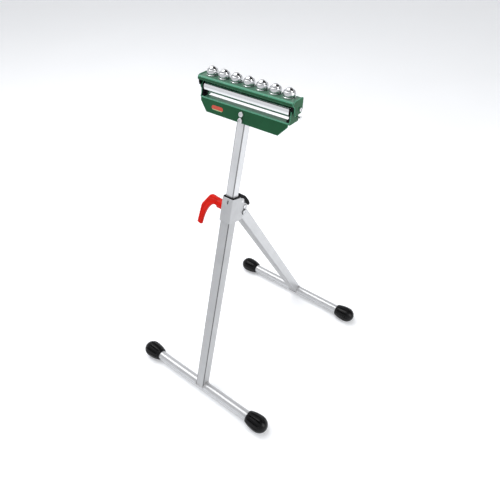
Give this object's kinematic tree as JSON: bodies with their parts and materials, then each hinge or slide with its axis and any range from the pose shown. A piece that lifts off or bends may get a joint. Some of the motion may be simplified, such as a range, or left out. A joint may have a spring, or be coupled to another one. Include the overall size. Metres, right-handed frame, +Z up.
{
  "type": "folding roller and ball support stand",
  "caption": "Folding A-frame stand with a height-adjustable clamped post carrying a tilting ball rail over a roller, to support long boards or stock.",
  "frame": {"origin": "on the floor, midway between the two foot tubes and under the middle of the roller", "axes": "+X along the roller and the foot tubes, +Y from the leaning post's foot towards the folding rear leg's foot, +Z up"},
  "size_m": [0.438, 0.512, 0.8063],
  "materials": {
    "galvanised": "zinc-plated tube, satin",
    "bright_zinc": "bright zinc-plated fasteners",
    "green_paint": "dark green enamel, semi-gloss",
    "roller_steel": "polished plated steel",
    "ball_chrome": "polished ball",
    "cup_steel": "pressed bright steel",
    "cap_rubber": "matt moulded rubber",
    "black_plastic": "moulded nylon",
    "red_plastic": "moulded, semi-gloss",
    "sticker_print": "glossy plain label",
    "spring_steel": "spring wire"
  },
  "bodies": {
    "frame": {"front_foot_tube": "galvanised", "front_cap_left": "cap_rubber", "front_cap_right": "cap_rubber", "outer_post": "galvanised", "collar": "galvanised", "guide_sleeve": "black_plastic", "clamp_nut": "bright_zinc", "pressure_pad": "black_plastic", "leg_pivot_bolt": "bright_zinc", "leg_pivot_nut": "bright_zinc", "leg_stop_pin": "bright_zinc", "latch_pin": "bright_zinc", "latch_spring": "spring_steel"},
    "rear_leg": {"rear_leg_tube": "galvanised", "rear_foot_tube": "galvanised", "rear_cap_left": "cap_rubber", "rear_cap_right": "cap_rubber", "leg_bush": "bright_zinc"},
    "clamp": {"clamp_lever": "red_plastic", "clamp_screw": "bright_zinc"},
    "latch": {"leg_latch": "black_plastic"},
    "slide": {"inner_post": "galvanised", "glide_plug": "black_plastic", "post_top_block": "black_plastic", "saddle": "green_paint", "saddle_bolts": "bright_zinc", "saddle_nuts": "bright_zinc", "front_sticker": "sticker_print", "bearing_block_left": "black_plastic", "bearing_block_right": "black_plastic", "roller_axle": "bright_zinc", "rail_pivot_bolts": "bright_zinc", "rail_stop_pins": "bright_zinc"},
    "roller": {"roller_tube": "roller_steel", "roller_end_left": "black_plastic", "roller_end_right": "black_plastic"},
    "rail": {"ball_rail": "green_paint", "rail_end_left": "black_plastic", "rail_end_right": "black_plastic", "ball_seats": "black_plastic", "cup_nuts": "bright_zinc", "ball_cup_1": "cup_steel", "ball_cup_2": "cup_steel", "ball_cup_3": "cup_steel", "ball_cup_4": "cup_steel", "ball_cup_5": "cup_steel", "ball_cup_6": "cup_steel", "ball_cup_7": "cup_steel"},
    "ball_1_body": {"ball_1": "ball_chrome"},
    "ball_2_body": {"ball_2": "ball_chrome"},
    "ball_3_body": {"ball_3": "ball_chrome"},
    "ball_4_body": {"ball_4": "ball_chrome"},
    "ball_5_body": {"ball_5": "ball_chrome"},
    "ball_6_body": {"ball_6": "ball_chrome"},
    "ball_7_body": {"ball_7": "ball_chrome"}
  },
  "joints": [
    {"name": "height_slide", "type": "slide", "parent": "frame", "child": "slide", "axis": [0, 0.2723, 0.9622], "range_m": [-0.15, 0.2]},
    {"name": "leg_fold", "type": "hinge", "parent": "frame", "child": "rear_leg", "pos_m": [0, -0.05893, 0.51406], "axis": [-1, 0, 0], "range_deg": [0, 46.5]},
    {"name": "clamp_turn", "type": "hinge", "parent": "frame", "child": "clamp", "pos_m": [0, -0.08837, 0.53486], "axis": [-1, 0, 0], "range_deg": [0, 150]},
    {"name": "latch_lift", "type": "hinge", "parent": "frame", "child": "latch", "pos_m": [0, -0.06258, 0.54523], "axis": [1, 0, 0], "range_deg": [0, 22], "stiffness_Nm_per_rad": 0.05, "springref_deg": -22.92},
    {"name": "rail_flip", "type": "hinge", "parent": "slide", "child": "rail", "pos_m": [0, -0.01503, 0.76929], "axis": [-1, 0, 0], "range_deg": [0, 110]},
    {"name": "roller_spin", "type": "hinge", "parent": "slide", "child": "roller", "pos_m": [0, -0.02303, 0.76579], "axis": [1, 0, 0], "continuous": true},
    {"name": "ball_1_spin", "type": "hinge", "parent": "rail", "child": "ball_1_body", "pos_m": [-0.0939, -0.01763, 0.79659], "axis": [1, 0, 0], "continuous": true},
    {"name": "ball_2_spin", "type": "hinge", "parent": "rail", "child": "ball_2_body", "pos_m": [-0.0626, -0.01763, 0.79659], "axis": [1, 0, 0], "continuous": true},
    {"name": "ball_3_spin", "type": "hinge", "parent": "rail", "child": "ball_3_body", "pos_m": [-0.0313, -0.01763, 0.79659], "axis": [1, 0, 0], "continuous": true},
    {"name": "ball_4_spin", "type": "hinge", "parent": "rail", "child": "ball_4_body", "pos_m": [0, -0.01763, 0.79659], "axis": [1, 0, 0], "continuous": true},
    {"name": "ball_5_spin", "type": "hinge", "parent": "rail", "child": "ball_5_body", "pos_m": [0.0313, -0.01763, 0.79659], "axis": [1, 0, 0], "continuous": true},
    {"name": "ball_6_spin", "type": "hinge", "parent": "rail", "child": "ball_6_body", "pos_m": [0.0626, -0.01763, 0.79659], "axis": [1, 0, 0], "continuous": true},
    {"name": "ball_7_spin", "type": "hinge", "parent": "rail", "child": "ball_7_body", "pos_m": [0.0939, -0.01763, 0.79659], "axis": [1, 0, 0], "continuous": true}
  ]
}
